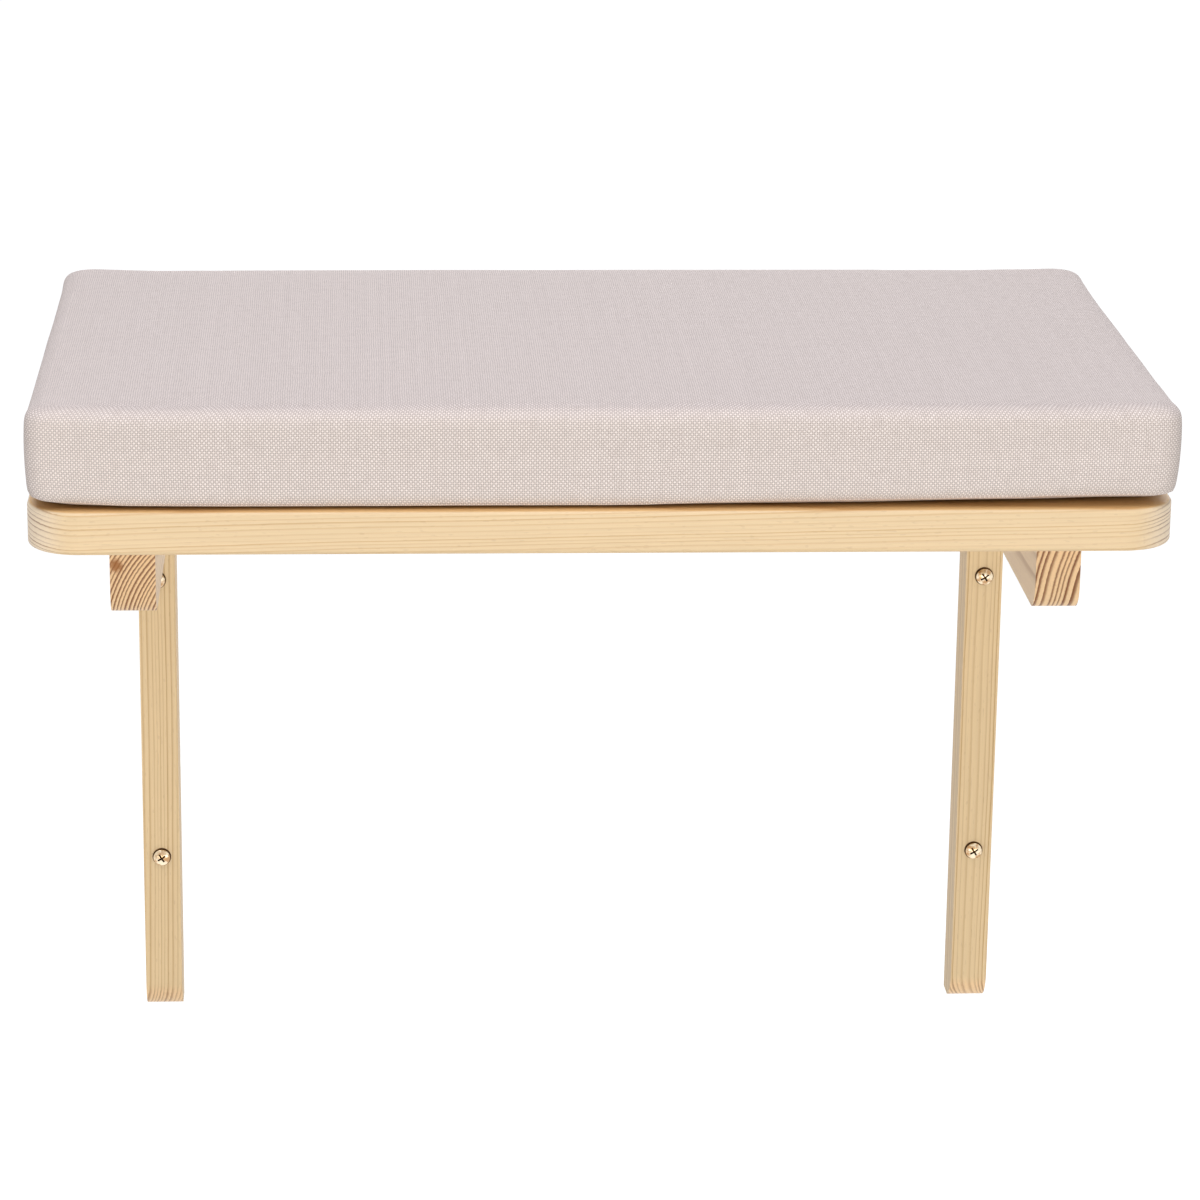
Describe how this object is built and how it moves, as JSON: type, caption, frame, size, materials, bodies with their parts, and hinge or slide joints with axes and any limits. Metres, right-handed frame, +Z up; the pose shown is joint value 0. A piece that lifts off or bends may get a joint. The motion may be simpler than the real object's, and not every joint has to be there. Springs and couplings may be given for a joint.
{
  "type": "window mounted cat perch",
  "caption": "Pine shelf on two wall brackets with a loose boxed foam cushion in a zipped linen cover, screwed under a window as a perch for a cat.",
  "frame": {"origin": "centre of the four wall screws, on the face of the wall", "axes": "+X to the right seen from the front, +Y into the wall, +Z up"},
  "size_m": [0.52, 0.33, 0.4043],
  "materials": {
    "pine_board": "planed and clear matt lacquered, edges rounded over",
    "pine_bracket": "planed and clear matt lacquered",
    "brass_screw": "bright brass plated",
    "zinc_screw": "zinc plated",
    "beech_dowel": "fluted and dry",
    "linen_cover": "plain woven linen look",
    "foam": "open cell foam",
    "zip_tape": "woven polyester tape",
    "nylon_coil": "moulded nylon",
    "grip_pad": "hook and loop pile",
    "zip_metal": "nickel plated zinc"
  },
  "bodies": {
    "perch": {"platform_board": "pine_board", "left_arm": "pine_bracket", "right_arm": "pine_bracket", "left_leg": "pine_bracket", "right_leg": "pine_bracket", "wall_screws": "brass_screw", "corner_screws": "zinc_screw", "corner_dowels": "beech_dowel", "board_screws": "zinc_screw", "board_dowels": "beech_dowel", "hook_pads": "grip_pad"},
    "cushion": {"cushion_foam": "foam", "cover_top": "linen_cover", "cover_base": "linen_cover", "loop_pads": "grip_pad", "zip_tape_upper": "zip_tape", "zip_tape_lower": "zip_tape", "zip_coil_upper": "nylon_coil", "zip_coil_lower": "nylon_coil", "zip_end_stops": "zip_metal"},
    "slider": {"zip_slider": "zip_metal"},
    "pull": {"zip_pull": "zip_metal"}
  },
  "joints": [
    {"name": "cushion_lift", "type": "slide", "parent": "perch", "child": "cushion", "axis": [0, 0, 1], "range_m": [0, 0.15]},
    {"name": "zip_slide", "type": "slide", "parent": "cushion", "child": "slider", "axis": [-1, 0, 0], "range_m": [0, 0.4294]},
    {"name": "pull_turn", "type": "hinge", "parent": "slider", "child": "pull", "pos_m": [0.2147, -0.00193, 0.2138], "axis": [0, 0, 1], "range_deg": [0, 180]}
  ]
}
